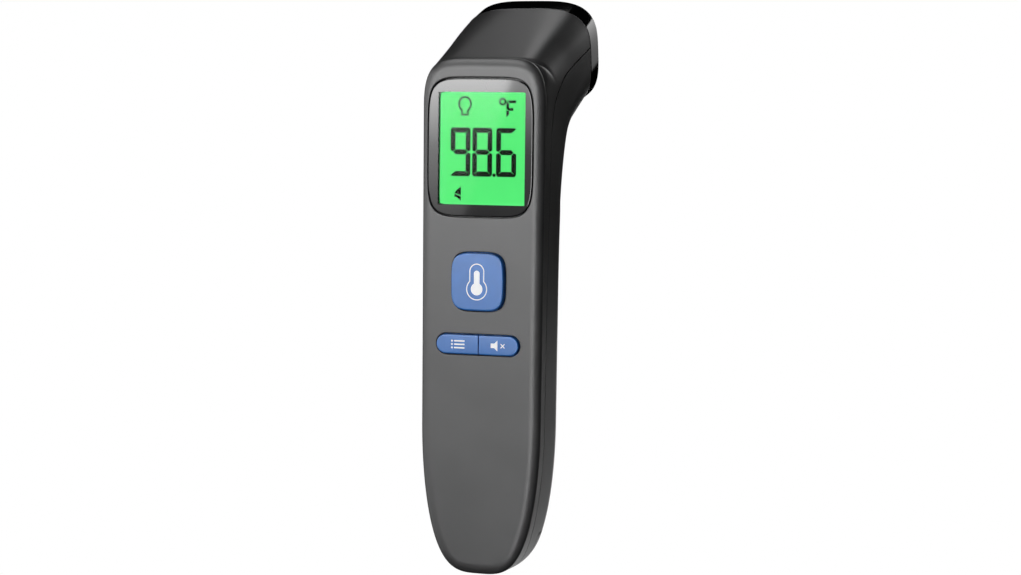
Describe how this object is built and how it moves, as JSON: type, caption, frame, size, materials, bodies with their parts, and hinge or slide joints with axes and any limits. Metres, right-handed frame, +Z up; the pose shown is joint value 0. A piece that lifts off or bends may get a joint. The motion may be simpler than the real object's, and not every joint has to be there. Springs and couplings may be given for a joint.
{
  "type": "infrared forehead thermometer",
  "caption": "Stick-shaped non-contact thermometer: upright handle with a lit display and blue keys, and a barrel head that leans back to a glossy sensor nose.",
  "frame": {"origin": "centre of the object's box on the plane under the handle's tip, with the handle upright", "axes": "+Z up the handle towards the head, -Y out of the display face, +X to the right of someone reading the display"},
  "size_m": [0.0388, 0.0481, 0.1611],
  "materials": {
    "housing_plastic": "satin charcoal moulded plastic with a very fine grain",
    "gloss_black": "high-gloss black moulded plastic",
    "window_acrylic": "clear acrylic with a dark printed border",
    "foam": "black closed-cell foam",
    "lcd_glass": "green backlit display glass",
    "white_plastic": "white diffusing plastic",
    "circuit_board": "green solder mask on glass-fibre board",
    "black_plastic": "black moulded plastic",
    "blue_plastic": "satin blue moulded plastic with a printed white symbol",
    "nickel": "nickel-plated steel",
    "battery_sleeve": "printed foil sleeve on a steel cell",
    "screw_steel": "black zinc-plated steel",
    "brass_sink": "turned brass",
    "sensor_filter": "coated infrared filter"
  },
  "bodies": {
    "housing": {"front_housing": "housing_plastic", "rear_housing": "housing_plastic", "nose_ring": "gloss_black", "sensor_cone": "gloss_black", "sensor_sleeve": "brass_sink", "thermopile_can": "nickel", "sensor_window": "sensor_filter", "sensor_board": "circuit_board", "sensor_cable": "white_plastic", "display_window": "window_acrylic", "window_gasket": "foam", "lcd_panel": "lcd_glass", "lcd_frame": "white_plastic", "backlight_panel": "white_plastic", "zebra_strip": "foam", "main_board": "circuit_board", "controller_chip": "black_plastic", "crystal": "nickel", "buzzer": "black_plastic", "measure_switch": "nickel", "memory_switch": "nickel", "mute_switch": "nickel", "battery_left": "battery_sleeve", "battery_right": "battery_sleeve", "battery_bridge": "nickel", "battery_spring_left": "nickel", "battery_spring_right": "nickel", "positive_contact": "nickel", "negative_contact": "nickel", "housing_screw_left": "screw_steel", "housing_screw_right": "screw_steel", "housing_screw_bottom": "screw_steel"},
    "measure_key": {"measure_button": "blue_plastic", "measure_plunger": "black_plastic"},
    "memory_key": {"memory_button": "blue_plastic", "memory_plunger": "black_plastic"},
    "mute_key": {"mute_button": "blue_plastic", "mute_plunger": "black_plastic"},
    "cover": {"battery_cover": "housing_plastic"}
  },
  "joints": [
    {"name": "measure_press", "type": "slide", "parent": "housing", "child": "measure_key", "axis": [0, 1, 0], "range_m": [0, 0.0006], "stiffness_N_per_m": 1800},
    {"name": "memory_press", "type": "slide", "parent": "housing", "child": "memory_key", "axis": [0, 1, 0], "range_m": [0, 0.0005], "stiffness_N_per_m": 1600},
    {"name": "mute_press", "type": "slide", "parent": "housing", "child": "mute_key", "axis": [0, 1, 0], "range_m": [0, 0.0005], "stiffness_N_per_m": 1600},
    {"name": "cover_slide", "type": "slide", "parent": "housing", "child": "cover", "axis": [0, 0, -1], "range_m": [0, 0.055]}
  ]
}
